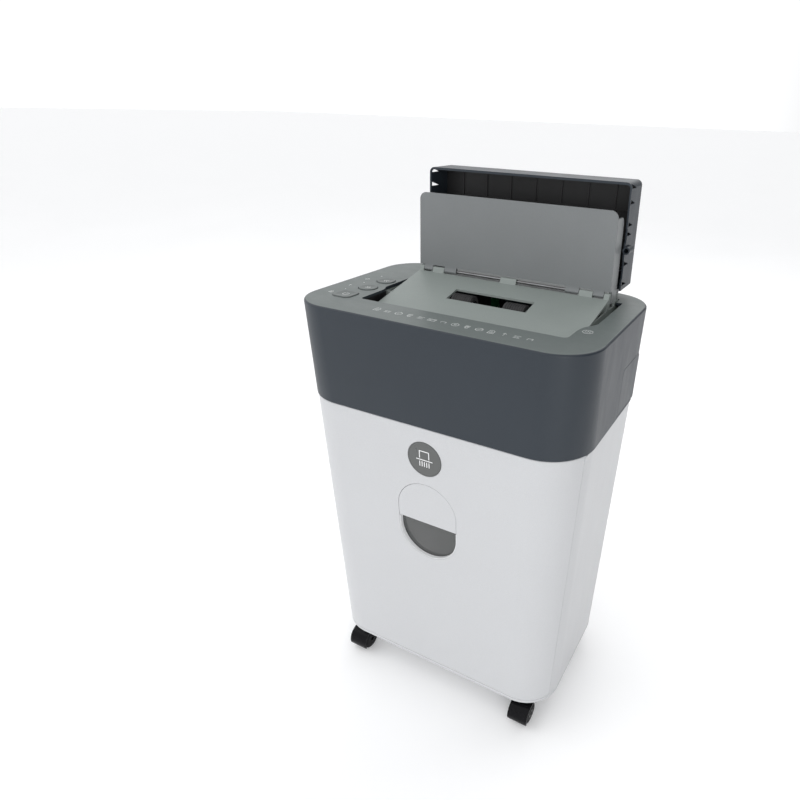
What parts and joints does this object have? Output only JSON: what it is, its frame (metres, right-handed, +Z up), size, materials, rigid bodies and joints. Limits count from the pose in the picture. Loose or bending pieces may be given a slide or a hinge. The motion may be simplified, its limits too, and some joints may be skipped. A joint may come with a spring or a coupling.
{
  "type": "paper shredder",
  "caption": "Upright paper shredder on swivel casters: cutter head with a hand-fed slot and a folding sheet feeder, on a cabinet with a pull-out waste bin and a window.",
  "frame": {"origin": "on the floor under the middle of the body", "axes": "+X to the right seen from the front, +Y to the back, +Z up"},
  "size_m": [0.346, 0.2314, 0.652],
  "materials": {
    "slate_plastic": "fine spark texture",
    "grey_plastic": "satin",
    "panel_plastic": "satin",
    "white_plastic": "fine texture",
    "black_plastic": "satin",
    "rubber": "matt",
    "steel": "brushed",
    "hardened_steel": "oiled",
    "gear_nylon": "natural nylon",
    "circuit_board": "solder mask",
    "smoked_window": "smoked clear plastic",
    "badge_grey": "satin"
  },
  "bodies": {
    "housing": {"head_casing": "slate_plastic", "side_panel_left": "slate_plastic", "side_panel_right": "slate_plastic", "feed_tray": "grey_plastic", "cabinet": "white_plastic", "base_plate": "white_plastic", "chassis_plate": "black_plastic", "slot_guide": "black_plastic", "sensor_bracket": "black_plastic", "interlock_switch": "black_plastic", "switch_housing": "black_plastic", "mains_inlet": "black_plastic", "rail_left": "black_plastic", "rail_right": "black_plastic", "panel_pin": "steel", "lid_pin_left": "steel", "lid_pin_right": "steel", "cutter_plate_left": "steel", "cutter_plate_right": "steel", "tie_bar_front": "steel", "tie_bar_rear": "steel", "idler_pin": "steel", "transfer_pin": "steel", "motor": "steel", "control_board": "circuit_board", "power_board": "circuit_board"},
    "lid": {"rear_lid": "slate_plastic"},
    "sheet_panel": {"inner_panel": "panel_plastic"},
    "bin": {"bin_front": "white_plastic", "bin_tub": "black_plastic", "window_panel": "white_plastic", "window_lens": "smoked_window", "front_badge": "badge_grey"},
    "power_key": {"power_button": "grey_plastic"},
    "forward_key": {"forward_button": "grey_plastic"},
    "reverse_key": {"reverse_button": "grey_plastic"},
    "rear_cutter": {"cutter_rear": "hardened_steel", "gear_rear": "gear_nylon"},
    "front_cutter": {"cutter_front": "hardened_steel", "gear_front": "gear_nylon"},
    "idler": {"idler_gear": "gear_nylon"},
    "motor_shaft": {"motor_pinion": "hardened_steel"},
    "transfer": {"transfer_gear": "gear_nylon"},
    "pickup_roller": {"feed_roller": "rubber", "roller_gear": "gear_nylon"},
    "paper_sensor": {"sensor_lever": "black_plastic"},
    "rocker": {"rocker_switch": "black_plastic"},
    "caster_front_left": {"caster_hood_front_left": "black_plastic"},
    "wheels_front_left": {"caster_wheels_front_left": "rubber"},
    "caster_front_right": {"caster_hood_front_right": "black_plastic"},
    "wheels_front_right": {"caster_wheels_front_right": "rubber"},
    "caster_rear_left": {"caster_hood_rear_left": "black_plastic"},
    "wheels_rear_left": {"caster_wheels_rear_left": "rubber"},
    "caster_rear_right": {"caster_hood_rear_right": "black_plastic"},
    "wheels_rear_right": {"caster_wheels_rear_right": "rubber"}
  },
  "joints": [
    {"name": "lid_fold", "type": "hinge", "parent": "housing", "child": "lid", "pos_m": [0, 0.0775, 0.5335], "axis": [1, 0, 0], "range_deg": [0, 90]},
    {"name": "panel_fold", "type": "hinge", "parent": "housing", "child": "sheet_panel", "pos_m": [0, 0.0485, 0.5415], "axis": [1, 0, 0], "range_deg": [0, 95]},
    {"name": "bin_slide", "type": "slide", "parent": "housing", "child": "bin", "axis": [0, -1, 0], "range_m": [0, 0.19]},
    {"name": "power_press", "type": "slide", "parent": "housing", "child": "power_key", "axis": [0, 0, -1], "range_m": [0, 0.0018], "stiffness_N_per_m": 300, "springref_m": -0.001},
    {"name": "forward_press", "type": "slide", "parent": "housing", "child": "forward_key", "axis": [0, 0, -1], "range_m": [0, 0.0018], "stiffness_N_per_m": 300, "springref_m": -0.001},
    {"name": "reverse_press", "type": "slide", "parent": "housing", "child": "reverse_key", "axis": [0, 0, -1], "range_m": [0, 0.0018], "stiffness_N_per_m": 300, "springref_m": -0.001},
    {"name": "rear_cutter_spin", "type": "hinge", "parent": "housing", "child": "rear_cutter", "pos_m": [0, -0.034, 0.467], "axis": [1, 0, 0], "continuous": true},
    {"name": "front_cutter_spin", "type": "hinge", "parent": "housing", "child": "front_cutter", "pos_m": [0, -0.066, 0.467], "axis": [1, 0, 0], "continuous": true},
    {"name": "idler_spin", "type": "hinge", "parent": "housing", "child": "idler", "pos_m": [0, 0.009, 0.467], "axis": [1, 0, 0], "continuous": true},
    {"name": "motor_spin", "type": "hinge", "parent": "housing", "child": "motor_shaft", "pos_m": [0, 0.042, 0.467], "axis": [1, 0, 0], "continuous": true},
    {"name": "transfer_spin", "type": "hinge", "parent": "housing", "child": "transfer", "pos_m": [0, 0.0043, 0.5029], "axis": [1, 0, 0], "continuous": true},
    {"name": "roller_spin", "type": "hinge", "parent": "housing", "child": "pickup_roller", "pos_m": [0, 0.0022, 0.5185], "axis": [1, 0, 0], "continuous": true},
    {"name": "sensor_tip", "type": "hinge", "parent": "housing", "child": "paper_sensor", "pos_m": [0, -0.0745, 0.513], "axis": [-1, 0, 0], "range_deg": [0, 25], "stiffness_Nm_per_rad": 0.005, "springref_deg": -17.19},
    {"name": "rocker_tilt", "type": "hinge", "parent": "housing", "child": "rocker", "pos_m": [0, 0.1079, 0.456], "axis": [1, 0, 0], "range_deg": [0, 16]},
    {"name": "swivel_front_left", "type": "hinge", "parent": "housing", "child": "caster_front_left", "pos_m": [-0.131, -0.081, 0.0146], "axis": [0, 0, 1], "continuous": true},
    {"name": "roll_front_left", "type": "hinge", "parent": "caster_front_left", "child": "wheels_front_left", "pos_m": [-0.131, -0.093, 0.0146], "axis": [1, 0, 0], "continuous": true},
    {"name": "swivel_front_right", "type": "hinge", "parent": "housing", "child": "caster_front_right", "pos_m": [0.131, -0.081, 0.0146], "axis": [0, 0, 1], "continuous": true},
    {"name": "roll_front_right", "type": "hinge", "parent": "caster_front_right", "child": "wheels_front_right", "pos_m": [0.131, -0.093, 0.0146], "axis": [1, 0, 0], "continuous": true},
    {"name": "swivel_rear_left", "type": "hinge", "parent": "housing", "child": "caster_rear_left", "pos_m": [-0.131, 0.081, 0.0146], "axis": [0, 0, 1], "continuous": true},
    {"name": "roll_rear_left", "type": "hinge", "parent": "caster_rear_left", "child": "wheels_rear_left", "pos_m": [-0.131, 0.069, 0.0146], "axis": [1, 0, 0], "continuous": true},
    {"name": "swivel_rear_right", "type": "hinge", "parent": "housing", "child": "caster_rear_right", "pos_m": [0.131, 0.081, 0.0146], "axis": [0, 0, 1], "continuous": true},
    {"name": "roll_rear_right", "type": "hinge", "parent": "caster_rear_right", "child": "wheels_rear_right", "pos_m": [0.131, 0.069, 0.0146], "axis": [1, 0, 0], "continuous": true}
  ],
  "couplings": [
    {"joint": "panel_fold", "follows": "lid_fold", "ratio": 1.0556},
    {"joint": "front_cutter_spin", "follows": "rear_cutter_spin", "ratio": -1},
    {"joint": "idler_spin", "follows": "rear_cutter_spin", "ratio": -0.59259},
    {"joint": "motor_spin", "follows": "rear_cutter_spin", "ratio": 2.6667},
    {"joint": "transfer_spin", "follows": "rear_cutter_spin", "ratio": 1.7391},
    {"joint": "roller_spin", "follows": "rear_cutter_spin", "ratio": -2.4615}
  ]
}
